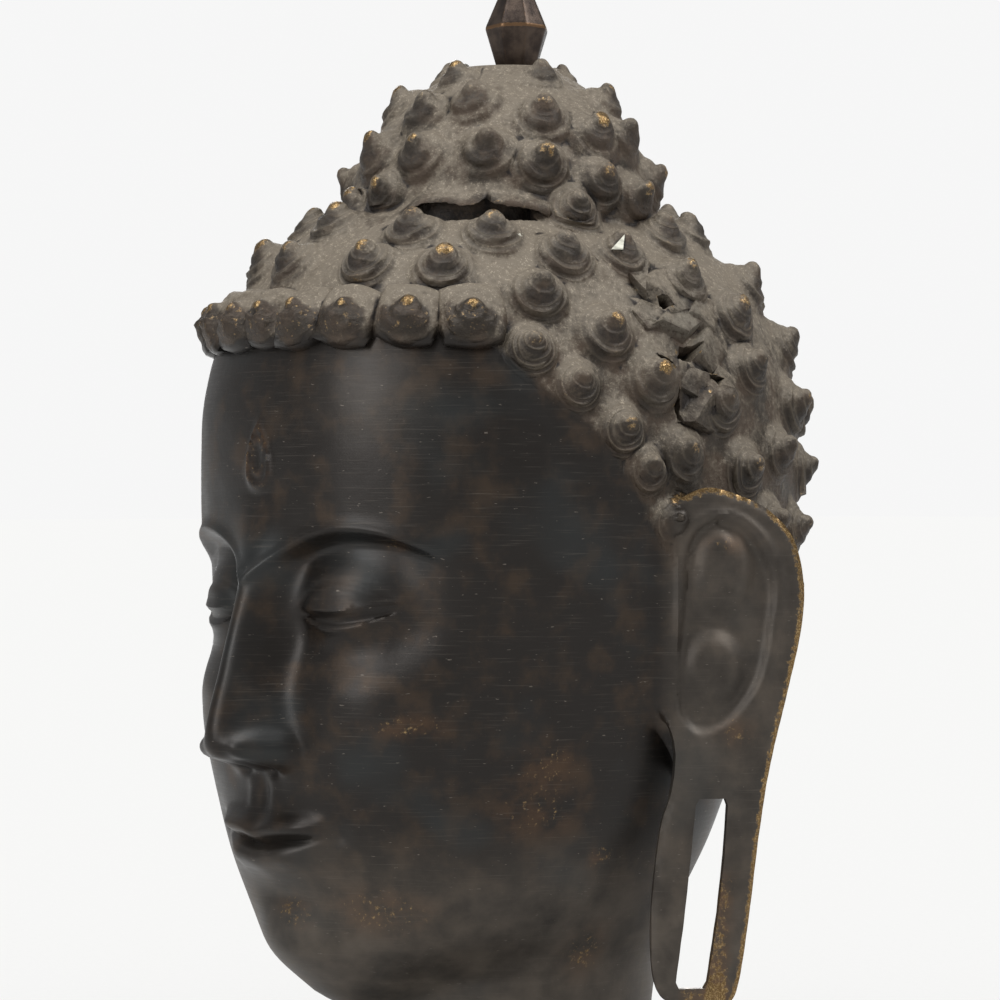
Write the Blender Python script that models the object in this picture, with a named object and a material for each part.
# Buddha head in patinated bronze: one hollow casting (neck, face, ears, curls, cranial bump) and
# the finial that stands on its crown. Metres, +Z up, the face looks along -Y, the head's left is +X.
# The origin is the centre of the neck's flat underside.

import math

import bpy
import bmesh
import numpy as np
from mathutils import Vector

MM = 0.001

# Heights above the underside. The face is three equal thirds from chin to hairline.
CHIN_Z = 40 * MM
FACE_THIRD = 62 * MM
NOSE_BASE_Z = CHIN_Z + FACE_THIRD
BROW_Z = CHIN_Z + 2 * FACE_THIRD
HAIRLINE_Z = CHIN_Z + 3 * FACE_THIRD
BIT = FACE_THIRD / 62           # the carving of the face is given in 62nds of a third
NAPE_HAIRLINE_Z = 126 * MM
SKULL_RISE = 44 * MM            # from the hairline to where the skull's dome would close
DOME_START = 26 * MM            # the dome starts to draw in this far below the hairline
BUMP_RISE = 35.5 * MM           # from the hairline to the foot of the cranial bump
BUMP_HEIGHT = 47.5 * MM         # from that foot to where the bump's dome would close
SEAT_DROP = 1.3 * MM            # the flat seat of the finial lies this far below that

# Half widths and depths of the skull and neck.
HEAD_HALF_WIDTH = 78 * MM
FACE_DEPTH = 90 * MM
BACK_DEPTH = 91 * MM
SKULL_SQUARENESS = 2.3
DOME_SQUARENESS = 2.5
BUMP_SQUARENESS = 1.9
BUMP_RADIUS = 46.5 * MM
BUMP_LEAN = 3 * MM
NECK_RADIUS = 46 * MM
NECK_FLARE = 3 * MM
NECK_FOLD = 1.0 * MM
BLEND = 7 * MM                  # soft join of skull and neck
BUMP_BLEND = 2.5 * MM

# Features of the face.
NOSE_PROJECTION = 20 * MM
NOSE_HALF_WIDTH = 14.5 * MM
EYE_X = 29 * MM
EYE_HALF_WIDTH = 15 * MM
MOUTH_HALF_WIDTH = 25 * MM

# Snail-shell curls.
CURL_RADIUS = 11.5 * MM
CURL_HEIGHT = 7.0 * MM
CURL_ROOT = 2.4 * MM            # how deep a curl's foot sits in the scalp
CURL_LEAN = 1.4 * MM            # its tip stands this much nearer the crown
HAIRLINE_PITCH = 17.6 * MM
CURL_PITCH = 23 * MM
ROW_PITCH = 19.5 * MM
FIRST_ROW = 7 * MM
TRIANGLE_COUNT = 8600           # left of the head after its curls are on, before its ears
BUMP_ROWS = ((0.25, 14), (0.50, 12), (0.74, 9), (0.94, 5))   # share of the height, curls round it

# Ears: a cast plate with a raised rim round a shallow bowl, and a long slit lobe.
EAR_THICKNESS = 3.4 * MM
EAR_BOWL_DEPTH = 1.6 * MM
EAR_FLARE = math.radians(30)    # how far the plate turns out from the side of the head
EAR_ROOT_DEPTH = 9 * MM         # how far its front edge runs into the head
EAR_LIFT = 33 * MM              # the lobe's lowest point above the underside
EAR_HEIGHT = 149 * MM
EAR_WIDTH = 42 * MM
EAR_SINK = 1.5 * MM             # how far the plate's root line lies under the side of the head
EAR_FORWARD = 4 * MM            # and in front of the head's axis
SLOT_WIDTH = 9.4 * MM
SLOT_LENGTH = 54 * MM
SLOT_FOOT = 6.35 * MM           # metal left below the slot

# Casting flaw at the front foot of the cranial bump, on the head's left.
SLIT_FROM = math.radians(18)
SLIT_TO = math.radians(66)
SLIT_LIFT = 2.5 * MM            # its middle over the foot of the bump
SLIT_HEIGHT = 3.4 * MM
SLIT_DEPTH = 9 * MM
SLIT_MOUTH = 12 * MM            # how far out the cut clears the metal

# Finial: an eight-sided double cone.
FINIAL_SIDES = 8
FINIAL_FOOT = 6.3 * MM
FINIAL_BELT = 10.2 * MM
FINIAL_BELT_RISE = 12 * MM
FINIAL_HEIGHT = 34 * MM
FINIAL_SHIFT = 6.5 * MM         # behind the head's axis
FINIAL_BLUNTING = 1.6 * MM      # its belt and its point are worn this blunt
FINIAL_GAP = 0.3 * MM           # between the finial and its seat

BUMP_FOOT_Z = HAIRLINE_Z + BUMP_RISE
SLIT_Z = BUMP_FOOT_Z + SLIT_LIFT
CROWN_Z = BUMP_FOOT_Z + BUMP_HEIGHT - SEAT_DROP


def ease(x, lo, hi):
    t = np.clip((x - lo) / (hi - lo), 0.0, 1.0)
    return t * t * (3 - 2 * t)


def bell(x, middle, width):
    return np.exp(-((x - middle) / width) ** 2)


def soft_max(a, b, blend):
    high = np.maximum(a, b)
    return high + blend * np.log(np.exp((a - high) / blend) + np.exp((b - high) / blend))


def curve_through(x, points):
    """A smooth curve through points, without overshoot."""
    px, py = (np.array(c, float) for c in zip(*points))
    slope = np.diff(py) / np.diff(px)
    both = slope[:-1] * slope[1:]
    inner = np.where(both > 0, 2 * both / (slope[:-1] + slope[1:] + 1e-30), 0.0)
    tangent = np.concatenate(([slope[0]], inner, [slope[-1]]))
    x = np.clip(x, px[0], px[-1])
    i = np.clip(np.searchsorted(px, x, side="right") - 1, 0, len(px) - 2)
    step = px[i + 1] - px[i]
    t = (x - px[i]) / step
    return (py[i] * (1 + 2 * t) * (1 - t) ** 2 + tangent[i] * step * t * (1 - t) ** 2
            + py[i + 1] * t * t * (3 - 2 * t) + tangent[i + 1] * step * t * t * (t - 1))


def oval(angle, half_width, front, back, power):
    """Radius of a squared oval at an angle from the face's direction."""
    depth = np.where(np.cos(angle) > 0, front, back)
    across = np.abs(np.sin(angle) / half_width) ** power
    along = np.abs(np.cos(angle) / depth) ** power
    return (across + along) ** (-1 / power)


# Shares of the greatest half width and depths, by height from the chin (0) to the hairline (1).
WIDTH_SHARES = ((-0.04, 0.20), (0.02, 0.44), (0.07, 0.63), (0.15, 0.79), (0.26, 0.89), (0.38, 0.94),
                (0.50, 0.965), (0.65, 0.99), (0.75, 1.0), (0.86, 0.99), (1.0, 0.955), (1.3, 0.90))
FRONT_SHARES = ((-0.08, 0.42), (-0.02, 0.74), (0.05, 0.845), (0.14, 0.89), (0.25, 0.935), (0.40, 0.975),
                (0.60, 0.99), (0.80, 1.0), (1.0, 0.975), (1.3, 0.90))
BACK_SHARES = ((0.05, 0.35), (0.20, 0.55), (0.30, 0.66), (0.42, 0.80), (0.55, 0.905), (0.70, 0.975),
               (0.86, 1.0), (1.0, 0.975), (1.3, 0.90))


def skull_radius(angle, z):
    level = (z - CHIN_Z) / (HAIRLINE_Z - CHIN_Z)
    half = HEAD_HALF_WIDTH * curve_through(level, WIDTH_SHARES)
    front = FACE_DEPTH * curve_through(level, FRONT_SHARES)
    back = BACK_DEPTH * curve_through(level, BACK_SHARES)
    dome_from = HAIRLINE_Z - DOME_START
    rise = np.clip((z - dome_from) / (SKULL_RISE + HAIRLINE_Z - dome_from), 0.0, 0.9999)
    dome = (1 - rise ** DOME_SQUARENESS) ** (1 / DOME_SQUARENESS)
    return oval(angle, half, front, back, SKULL_SQUARENESS) * dome


def neck_radius(z):
    flare = NECK_FLARE * (1 - ease(z, 0.0, 0.6 * CHIN_Z))
    folds = sum(bell(z, CHIN_Z * share, 2.2 * NECK_FOLD) for share in (0.42, 0.70, 0.98))
    return NECK_RADIUS + flare + 0.10 * np.maximum(z - CHIN_Z, 0) - NECK_FOLD * folds


def bump_radius(z):
    rise = np.clip((z - BUMP_FOOT_Z) / BUMP_HEIGHT, 0.0, 0.9999)
    radius = BUMP_RADIUS * (1 - rise ** BUMP_SQUARENESS) ** (1 / BUMP_SQUARENESS)
    return radius * ease(z, BUMP_FOOT_Z - 0.4 * BUMP_RISE, BUMP_FOOT_Z)


def body_point(angle, z):
    """A point of the plain skull, neck and cranial bump."""
    angle, z = np.broadcast_arrays(np.asarray(angle, float), np.asarray(z, float))
    neck = neck_radius(z) * (1 - ease(z, NOSE_BASE_Z, BROW_Z) * 0.8)
    head = soft_max(skull_radius(angle, z), neck, BLEND * (1 - 0.9 * ease(z, NOSE_BASE_Z, BROW_Z)))
    radius = soft_max(head, bump_radius(z), BUMP_BLEND)
    lean = BUMP_LEAN * ease(z, BUMP_FOOT_Z, CROWN_Z)
    return np.stack((radius * np.sin(angle), lean - radius * np.cos(angle), z), axis=-1)


EYE_Z = BROW_Z - 19.4 * BIT     # the slit between the lids, at the pupil
MOUTH_Z = NOSE_BASE_Z - FACE_THIRD / 3


def brow_height(side):
    """The arch of the eyebrows, from the root of the nose outwards."""
    arch = (side - 31 * BIT) / (27 * BIT)
    return BROW_Z + 6 * BIT - 9.5 * BIT * arch ** 2 + 1.5 * BIT * arch


def slit_height(side):
    across = (side - EYE_X) / EYE_HALF_WIDTH
    return EYE_Z + 2.6 * BIT * across ** 2 + 0.5 * BIT * across


def parting_height(side):
    """The line between the lips, lifted at the corners."""
    return MOUTH_Z + 2.6 * BIT * (side / MOUTH_HALF_WIDTH) ** 2 - 0.9 * BIT * bell(side, 0, 5 * BIT)


def eye_relief(side, z):
    """A downcast eye: the ball and the slit between its lids."""
    across = (side - EYE_X) / EYE_HALF_WIDTH
    up = (z - EYE_Z - 4.4 * BIT) / (11 * BIT)
    ball = 6.6 * BIT * np.exp(-(across ** 2 + up ** 2) ** 1.4)
    within = 1 - ease(np.abs(across), 0.80, 1.08)
    return ball - 1.9 * BIT * within * bell(z, slit_height(side), 1.7 * BIT)


def nose_relief(side, z):
    """A straight ridge from the brows down, with rounded wings over the nostrils."""
    base = NOSE_BASE_Z
    ridge = curve_through(z, ((base - 6 * BIT, 0.0), (base - 1 * BIT, 0.10), (base + 4 * BIT, 0.90),
                              (base + 8 * BIT, 1.0), (base + 30 * BIT, 0.70), (BROW_Z - 12 * BIT, 0.38),
                              (BROW_Z + 2 * BIT, 0.16), (BROW_Z + 16 * BIT, 0.0)))
    width = NOSE_HALF_WIDTH * curve_through(z, ((base, 0.78), (base + 22 * BIT, 0.60),
                                                (BROW_Z - 14 * BIT, 0.42), (BROW_Z + 4 * BIT, 0.70)))
    relief = NOSE_PROJECTION * ridge * np.exp(-(side / width) ** 2.3)
    out = (side - 0.74 * NOSE_HALF_WIDTH) / (5.0 * BIT)
    up = (z - base - 6 * BIT) / (5.6 * BIT)
    return relief + 7.0 * BIT * np.exp(-(out ** 2 + up ** 2) ** 1.3)


def mouth_relief(side, z):
    """Closed lips with a gentle bow."""
    across = side / MOUTH_HALF_WIDTH
    within = 1 - ease(across, 0.62, 1.10)
    parting = parting_height(side)
    top = 4.4 * BIT - 2.4 * BIT * across ** 2 - 0.7 * BIT * bell(side, 0, 3.2 * BIT)
    relief = 4.0 * BIT * within * bell(z, parting + top * 0.85, 3.4 * BIT)
    relief += 4.6 * BIT * (1 - ease(across, 0.35, 1.02)) * bell(z, parting - 4.9 * BIT, 4.2 * BIT)
    return relief - 2.6 * BIT * within * bell(z, parting, 1.7 * BIT)


def face_relief(x, z):
    """How far the face's features stand out in front of the plain skull."""
    side = np.abs(x)
    relief = 3.2 * BIT * bell(side, 36 * BIT, 19 * BIT) * bell(z, NOSE_BASE_Z + 14 * BIT, 22 * BIT)
    relief += 5.0 * BIT * bell(side, 0, 27 * BIT) * bell(z, MOUTH_Z, 17 * BIT)
    relief += 5.5 * BIT * bell(side, 0, 16 * BIT) * bell(z, CHIN_Z + 12 * BIT, 9.5 * BIT)
    relief -= 2.0 * BIT * bell(side, 0, 15 * BIT) * bell(z, MOUTH_Z - 15.5 * BIT, 3.4 * BIT)
    under_brow = ease(brow_height(side) - z, -0.8 * BIT, 4.5 * BIT)
    socket = under_brow * ease(z, EYE_Z - 23 * BIT, EYE_Z + BIT) * ease(side, 4 * BIT, 16 * BIT)
    relief -= 6.0 * BIT * socket * (1 - ease(side, 42 * BIT, 62 * BIT))
    relief += 1.1 * BIT * bell(z, brow_height(side), 2.4 * BIT) * (1 - ease(side, 48 * BIT, 60 * BIT))
    relief += eye_relief(side, z) + nose_relief(side, z) + mouth_relief(side, z)
    # Urna: a drop-shaped boss on the forehead.
    drop = (z - BROW_Z - 27 * BIT) / (8.5 * BIT)
    across = side / (4.6 * BIT * (1 - 0.45 * drop))
    relief += 1.6 * BIT * np.exp(-(drop ** 2 + across ** 2) ** 2)
    return relief * (1 - ease(side, 0.77 * HEAD_HALF_WIDTH, 0.95 * HEAD_HALF_WIDTH))


def bent_height(angle, level):
    """Height of a ring that bends with the lips, the lids and the brows it passes."""
    side = np.abs(skull_radius(angle, np.full(len(angle), level)) * np.sin(angle))
    front = (1 - ease(side, 0.54 * HEAD_HALF_WIDTH, 0.85 * HEAD_HALF_WIDTH)) * (np.cos(angle) > 0)
    lines = ((MOUTH_Z, parting_height(side)), (EYE_Z, slit_height(side)),
             (BROW_Z, brow_height(np.maximum(side, 4 * BIT))))
    bend = 0.0
    levels = [CHIN_Z] + [line[0] for line in lines] + [HAIRLINE_Z]
    for number, (middle, line) in enumerate(lines):
        below, above = levels[number], levels[number + 2]
        weight = np.interp(level, (below, middle, above), (0, 1, 0))
        bend = bend + weight * (line - middle) * front
    return level + bend


def surface_point(angle, z):
    point = body_point(angle, z)
    facing = ease(np.cos(angle), 0.15, 0.5) * ease(point[..., 2], 0.75 * CHIN_Z, 1.1 * CHIN_Z)
    point[..., 1] -= face_relief(point[..., 0], point[..., 2]) * facing
    return point


def surface_frame(angle, z):
    """Origin, outward normal and the direction up the scalp at a point of the plain head."""
    step_angle, step_z = 0.01, 0.2 * MM
    origin = body_point(angle, z)
    round_it = body_point(angle + step_angle, z) - body_point(angle - step_angle, z)
    up = body_point(angle, z + step_z) - body_point(angle, z - step_z)
    normal = np.cross(round_it, up)
    normal /= np.linalg.norm(normal)
    return origin, normal, up / np.linalg.norm(up)


def even_heights(low, high, count):
    """Heights that divide the side of the head between two levels into equal arcs."""
    z = np.linspace(low, high, 400)
    arc = np.concatenate(([0], np.cumsum(np.linalg.norm(np.diff(body_point(math.radians(60), z),
                                                                axis=0), axis=1))))
    return np.interp(np.linspace(0, arc[-1], count), arc, z)


def closed_mesh(name, rings):
    """A skin over rings of points, closed flat at both ends."""
    mesh = bmesh.new()
    verts = [[mesh.verts.new(point) for point in ring] for ring in rings]
    for low, high in zip(verts, verts[1:]):
        for i in range(len(low)):
            j = (i + 1) % len(low)
            mesh.faces.new((low[i], low[j], high[j], high[i]))
    mesh.faces.new(reversed(verts[0]))
    mesh.faces.new(verts[-1])
    bmesh.ops.triangulate(mesh, faces=mesh.faces[:])
    data = bpy.data.meshes.new(name)
    mesh.to_mesh(data)
    mesh.free()
    piece = bpy.data.objects.new(name, data)
    bpy.context.collection.objects.link(piece)
    return piece


def face_levels():
    """Levels of the head's rings, closer together where the face has features."""
    neck = np.linspace(0, CHIN_Z - 3 * BIT, 6)
    chin = np.linspace(CHIN_Z + 3 * BIT, MOUTH_Z - 11.5 * BIT, 4)
    lips = MOUTH_Z + np.array((-8.0, -5.0, -2.4, 0.0, 2.2, 4.4, 7.5, 12.0)) * BIT
    nose = NOSE_BASE_Z + np.array((-4.5, -1.0, 2.0, 5.0, 10.0)) * BIT
    middle = np.linspace(NOSE_BASE_Z + 16 * BIT, EYE_Z - 11 * BIT, 3)
    eyes = EYE_Z + np.array((-7.0, -4.0, -1.9, 0.0, 1.9, 4.5, 8.5, 12.5)) * BIT
    brow = BROW_Z + np.array((-3.0, -0.8, 1.2, 5.0)) * BIT
    forehead = np.linspace(BROW_Z + 12 * BIT, HAIRLINE_Z, 7)
    return np.concatenate((neck, chin, lips, nose, middle, eyes, brow, forehead))


def make_skin():
    levels = np.concatenate((face_levels(), even_heights(HAIRLINE_Z, CROWN_Z, 15)[1:]))
    turn = np.radians(np.concatenate((np.linspace(0, 27, 13), np.linspace(32, 72, 8),
                                      np.linspace(86, 180, 8))))
    angles = np.concatenate((-turn[:0:-1], turn[:-1]))
    rings = [surface_point(angles, bent_height(angles, level)) for level in levels]
    return closed_mesh("head", rings)


# Height of the hairline as shares of the way from the nape's hairline to the brow's, by angle.
HAIRLINE_SHARES = ((0, 1.0), (50, 0.99), (62, 0.90), (73, 0.745), (81, 0.60), (88, 0.42), (98, 0.20),
                   (115, 0.03), (180, 0.0))


def hairline(angle):
    share = curve_through(np.degrees(np.abs(angle)), HAIRLINE_SHARES)
    return NAPE_HAIRLINE_Z + (HAIRLINE_Z - NAPE_HAIRLINE_Z) * share


def scalp_field():
    """Angles round the left half of the scalp, heights over each, and distances to the hairline."""
    edge_angles = np.radians(np.linspace(-200, 200, 201))
    edge = body_point(edge_angles, hairline(edge_angles))
    angles = np.radians(np.arange(0, 180.1, 2.0))
    share = np.linspace(0, 1, 160)[None]
    low = hairline(angles)[:, None]
    heights = low + (BUMP_FOOT_Z - low) * share
    points = body_point(angles[:, None], heights)
    gaps = np.linalg.norm(points[:, :, None] - edge, axis=3).min(axis=2)
    return angles, heights, gaps


def row_places(field, distance, pitch, offset):
    """Angles and heights of one row of curls at a distance from the hairline, on the left half."""
    track = []
    for angle, heights, gaps in zip(*field):
        beyond = np.nonzero(gaps >= distance)[0]
        if len(beyond):
            track.append((angle, heights[beyond[0]]))
    if len(track) < 3:
        return []
    angle, z = np.array(track).T
    steps = np.linalg.norm(np.diff(body_point(angle, z), axis=0), axis=1)
    arc = np.concatenate(([0], np.cumsum(steps)))
    gaps = max(1, round(arc[-1] / pitch))
    start = offset if angle[0] < 0.01 else 0.5
    at = (np.arange(0, gaps + 0.6) + start) * arc[-1] / gaps
    at = at[at <= arc[-1] * 1.0001]
    return list(zip(np.interp(at, arc, angle), np.interp(at, arc, z)))


def fill_places(field, places):
    """Curls that fill what the rows leave bare on top of the skull, from the bump's foot down."""
    spots = [body_point(angle, z) for angle, z, _ in places]
    filled = []
    angles, heights, gaps = field
    for step in range(heights.shape[1] - 2, 0, -2):
        for number in range(len(angles) - 1, -1, -1):
            spot = body_point(angles[number], heights[number, step])
            twin = spot * (-1, 1, 1)
            near_middle = 0.01 * MM < abs(spot[0]) < 0.5 * CURL_PITCH
            if gaps[number, step] < FIRST_ROW + 0.8 * ROW_PITCH or near_middle:
                continue
            if all(np.linalg.norm(spot - other) > 0.84 * CURL_PITCH for other in spots):
                filled.append((angles[number], heights[number, step], 1.0))
                spots += [spot, twin]
    return filled


def curl_places():
    """Where each curl of the scalp and of the cranial bump stands, with its size."""
    places = []
    field = scalp_field()
    for row in range(int(field[2].max() / ROW_PITCH) + 1):
        pitch = HAIRLINE_PITCH if row == 0 else CURL_PITCH
        size = 0.82 if row == 0 else 1.0
        for angle, z in row_places(field, FIRST_ROW + row * ROW_PITCH, pitch, 0.5 * (row % 2)):
            places.append((angle, z, size))
    places += fill_places(field, places)
    places += [(-angle, z, size) for angle, z, size in places if 0.02 < angle < math.pi - 0.02]
    for row, (share, count) in enumerate(BUMP_ROWS):
        z = BUMP_FOOT_Z + share * (CROWN_Z - BUMP_FOOT_Z)
        for i in range(count):
            angle = math.remainder(math.tau * (i + 0.5 * (row % 2)) / count, math.tau)
            over_slit = SLIT_FROM < angle < SLIT_TO and z - SLIT_Z < CURL_RADIUS
            if not over_slit:
                places.append((angle, z, 0.85 if share < 0.9 else 0.65))
    return places


def curl_groups():
    """The curls in groups whose members don't touch each other."""
    groups = []
    for angle, z, size in curl_places():
        spot = body_point(angle, z)
        for group in groups:
            if all(np.linalg.norm(spot - other[0]) > 2.3 * CURL_RADIUS for other in group):
                break
        else:
            group = []
            groups.append(group)
        group.append((spot, angle, z, size))
    return [[place[1:] for place in group] for group in groups]


def make_curls(places):
    """One six-sided, blunt cone for each curl, its foot inside the scalp."""
    mesh = bmesh.new()
    for number, (angle, z, size) in enumerate(places):
        origin, normal, up = (Vector(v) for v in surface_frame(angle, z))
        side = normal.cross(up)
        levels = ((1.0, -CURL_ROOT, 0.0), (0.44, 0.62 * CURL_HEIGHT, 0.6))
        rings = []
        for radius, height, lean in levels:
            middle = origin + normal * height * size + up * CURL_LEAN * lean
            ring = []
            for i in range(6):
                turn = math.tau * (i + 0.37 * (number % 3)) / 6
                spoke = side * math.cos(turn) + up * math.sin(turn)
                ring.append(mesh.verts.new(middle + spoke * radius * CURL_RADIUS * size))
            rings.append(ring)
        tip = mesh.verts.new(origin + normal * CURL_HEIGHT * size + up * CURL_LEAN)
        for i in range(6):
            j = (i + 1) % 6
            mesh.faces.new((rings[0][i], rings[0][j], rings[1][j], rings[1][i]))
            mesh.faces.new((rings[1][i], rings[1][j], tip))
        mesh.faces.new(reversed(rings[0]))
    bmesh.ops.recalc_face_normals(mesh, faces=mesh.faces[:])
    data = bpy.data.meshes.new("curls")
    mesh.to_mesh(data)
    mesh.free()
    piece = bpy.data.objects.new("curls", data)
    bpy.context.collection.objects.link(piece)
    return piece


# Outline of the ear as shares of its width and height, from the foot of its front edge round its top.
EAR_OUTLINE = ((0.10, 0.39), (-0.02, 0.345), (-0.05, 0.19), (-0.06, 0.09), (-0.01, 0.035), (0.10, 0.012),
               (0.31, 0.0), (0.47, 0.012), (0.545, 0.055), (0.62, 0.19), (0.69, 0.345), (0.765, 0.47),
               (0.89, 0.615), (0.975, 0.72), (1.0, 0.81), (0.93, 0.90), (0.76, 0.955), (0.55, 0.985),
               (0.32, 1.0), (0.10, 0.975))


def ear_frame(mirror):
    """Origin and the directions backwards along the ear's plate and out of its face."""
    level = EAR_LIFT + 0.80 * EAR_HEIGHT
    root = Vector((float(body_point(math.pi / 2, level)[0]) - EAR_SINK, -EAR_FORWARD,
                   EAR_LIFT))
    back = Vector((math.sin(EAR_FLARE), math.cos(EAR_FLARE), 0))
    out = Vector((math.cos(EAR_FLARE), -math.sin(EAR_FLARE), 0))
    for vector in (root, back, out):
        vector.x *= mirror
    return root, back, out


def ear_plate(name, outline, near, far, mirror):
    """A plate between two depths, over an outline given along the ear's width and height."""
    root, back, out = ear_frame(mirror)
    rings = [[root + back * along + Vector((0, 0, up)) + out * depth for along, up in outline]
             for depth in (near, far)]
    return closed_mesh(name, rings)


def ear_outlines():
    edge = [(EAR_WIDTH * along, EAR_HEIGHT * up) for along, up in EAR_OUTLINE]
    rooted = [(-EAR_ROOT_DEPTH, EAR_HEIGHT * up) for up in (0.93, 0.50)] + edge
    lean = 0.115
    top = SLOT_FOOT + SLOT_LENGTH
    slot_left = 0.245 * EAR_WIDTH
    slot = []
    for along, down in ((0.0, 0.06), (0.12, 0.0), (0.9, 0.0), (1.0, 0.06), (1.08, 0.5), (1.0, 0.94),
                        (0.9, 1.0), (0.12, 1.0), (0.0, 0.94)):
        height = top - down * SLOT_LENGTH
        slot.append((slot_left + along * SLOT_WIDTH - lean * (top - height), height))
    turns = [math.tau * i / 18 for i in range(18)]
    bowl = [(EAR_WIDTH * (0.44 + 0.34 * math.cos(turn)), EAR_HEIGHT * (0.745 + 0.20 * math.sin(turn)))
            for turn in turns]
    return rooted, slot, bowl


def ear_root(mirror):
    """The wedge that fills the corner between the ear's plate and the side of the head."""
    root, back, out = ear_frame(mirror)
    rings = []
    for share in (0.50, 0.62, 0.80, 0.92):
        height = Vector((0, 0, share * EAR_HEIGHT))
        reach = EAR_WIDTH * (0.34 if 0.55 < share < 0.9 else 0.22)
        corners = ((-EAR_ROOT_DEPTH, 0.25), (reach, 0.25), (0.5 * reach, -4.0), (-EAR_ROOT_DEPTH, -5.5))
        rings.append([root + height + back * along + out * EAR_THICKNESS * depth
                      for along, depth in corners])
    return closed_mesh("ear_root", rings)


def make_ear(mirror):
    edge, slot, bowl = ear_outlines()
    plate = ear_plate("ear", edge, 0.0, EAR_THICKNESS, mirror)
    fix_normals(plate)
    cut(plate, ear_plate("slot", slot, -EAR_THICKNESS, 2 * EAR_THICKNESS, mirror), "DIFFERENCE")
    cut(plate, ear_plate("bowl", bowl, EAR_THICKNESS - EAR_BOWL_DEPTH, 2 * EAR_THICKNESS, mirror),
        "DIFFERENCE")
    cut(plate, ear_root(mirror), "UNION")
    return plate


def slit_cutter():
    """A flat curved wedge along the front foot of the cranial bump."""
    rings = []
    for share in np.linspace(0, 1, 9):
        angle = SLIT_FROM + share * (SLIT_TO - SLIT_FROM)
        half = SLIT_HEIGHT / 2 * (0.35 + 0.65 * math.sin(math.pi * share) ** 0.6)
        skin = body_point(angle, SLIT_Z)
        outward = Vector((math.sin(angle), -math.cos(angle), 0))
        outer = Vector(skin) + outward * SLIT_MOUTH
        inner = Vector(skin) - outward * SLIT_DEPTH
        rise = Vector((0, 0, half))
        rings.append((inner - rise * 0.5, outer - rise, outer + rise, inner + rise * 0.5))
    return closed_mesh("slit", rings)


def fix_normals(piece):
    mesh = bmesh.new()
    mesh.from_mesh(piece.data)
    bmesh.ops.recalc_face_normals(mesh, faces=mesh.faces[:])
    mesh.to_mesh(piece.data)
    mesh.free()


def apply_modifiers(piece):
    graph = bpy.context.evaluated_depsgraph_get()
    result = bpy.data.meshes.new_from_object(piece.evaluated_get(graph), depsgraph=graph)
    piece.modifiers.clear()
    piece.data = result


def cut(piece, tool, operation):
    """Apply a Boolean to a piece and take the tool away. The exact solver leaves edges open where
    the ears' thin plates run into the cheeks, so the manifold one is used throughout."""
    fix_normals(tool)
    modifier = piece.modifiers.new(operation.lower(), "BOOLEAN")
    modifier.operation = operation
    modifier.solver = "MANIFOLD"
    modifier.object = tool
    apply_modifiers(piece)
    bpy.data.objects.remove(tool)


def shells(mesh):
    """The faces of a mesh in groups that hang together by their edges, the largest group last."""
    left = set(mesh.faces)
    groups = []
    while left:
        front = [left.pop()]
        group = []
        while front:
            face = front.pop()
            group.append(face)
            for edge in face.edges:
                for other in edge.link_faces:
                    if other in left:
                        left.remove(other)
                        front.append(other)
        groups.append(group)
    return sorted(groups, key=len)


def tidy(piece):
    """Drop the crumbs that cuts left loose, join the triangles that lie in one plane and divide
    them again without slivers."""
    mesh = bmesh.new()
    mesh.from_mesh(piece.data)
    crumbs = [face for group in shells(mesh)[:-1] for face in group]
    bmesh.ops.delete(mesh, geom=crumbs, context="FACES")
    bmesh.ops.dissolve_limit(mesh, angle_limit=math.radians(0.05), verts=mesh.verts[:],
                             edges=mesh.edges[:])
    bmesh.ops.triangulate(mesh, faces=mesh.faces[:])
    mesh.to_mesh(piece.data)
    mesh.free()


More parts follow.
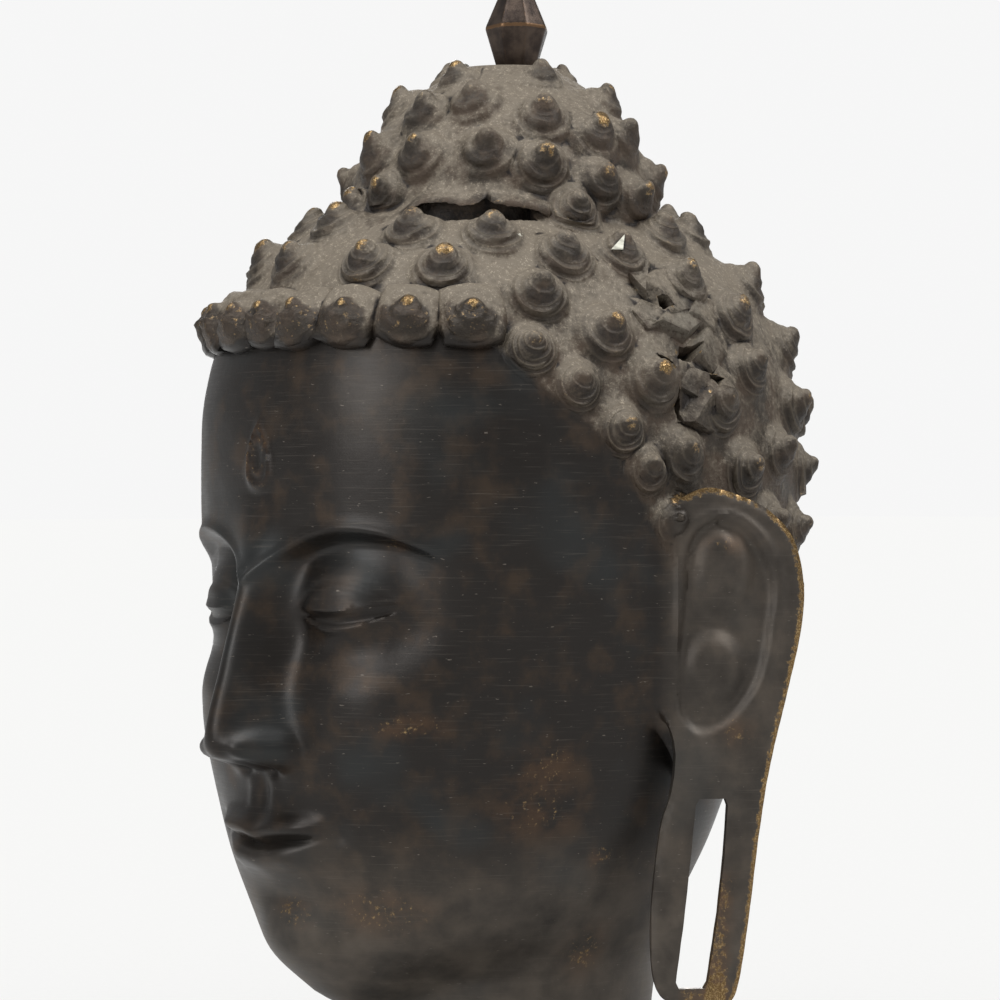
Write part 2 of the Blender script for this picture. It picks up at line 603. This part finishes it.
def thin_out(piece, triangles):
    """Close up the slivers between the curls, then collapse the shortest and flattest edges until
    about so many triangles are left."""
    mesh = bmesh.new()
    mesh.from_mesh(piece.data)
    bmesh.ops.triangulate(mesh, faces=mesh.faces[:])
    bmesh.ops.dissolve_degenerate(mesh, dist=0.2 * MM, edges=mesh.edges[:])
    bmesh.ops.triangulate(mesh, faces=mesh.faces[:])
    mesh.to_mesh(piece.data)
    mesh.free()
    modifier = piece.modifiers.new("thin_out", "DECIMATE")
    modifier.ratio = min(1.0, triangles / len(piece.data.polygons))
    modifier.use_collapse_triangulate = True
    apply_modifiers(piece)


def bronze(name, colour, roughness):
    material = bpy.data.materials.new(name)
    material.use_nodes = True
    shader = material.node_tree.nodes["Principled BSDF"]
    shader.inputs["Base Color"].default_value = (*colour, 1)
    shader.inputs["Metallic"].default_value = 0.85
    shader.inputs["Roughness"].default_value = roughness
    return material


def make_head():
    head = make_skin()
    fix_normals(head)
    for places in curl_groups():
        cut(head, make_curls(places), "UNION")
    thin_out(head, TRIANGLE_COUNT)
    cut(head, slit_cutter(), "DIFFERENCE")
    for mirror in (1, -1):
        cut(head, make_ear(mirror), "UNION")
    tidy(head)
    head.data.materials.clear()
    head.data.materials.append(bronze("dark_patinated_bronze", (0.030, 0.024, 0.020), 0.45))
    return head


def make_finial():
    foot = CROWN_Z + FINIAL_GAP
    rings = []
    worn = FINIAL_BLUNTING / 2
    for radius, rise in ((FINIAL_FOOT, 0.0), (FINIAL_BELT, FINIAL_BELT_RISE - worn),
                         (FINIAL_BELT, FINIAL_BELT_RISE + worn), (worn, FINIAL_HEIGHT)):
        turns = [math.tau * (i + 0.5) / FINIAL_SIDES for i in range(FINIAL_SIDES)]
        rings.append([Vector((radius * math.cos(turn), FINIAL_SHIFT + radius * math.sin(turn), foot + rise))
                      for turn in turns])
    finial = closed_mesh("finial", rings)
    fix_normals(finial)
    finial.data.materials.append(bronze("smooth_brown_bronze", (0.055, 0.035, 0.025), 0.38))
    return finial


for old in list(bpy.data.objects):
    bpy.data.objects.remove(old)
make_head()
make_finial()
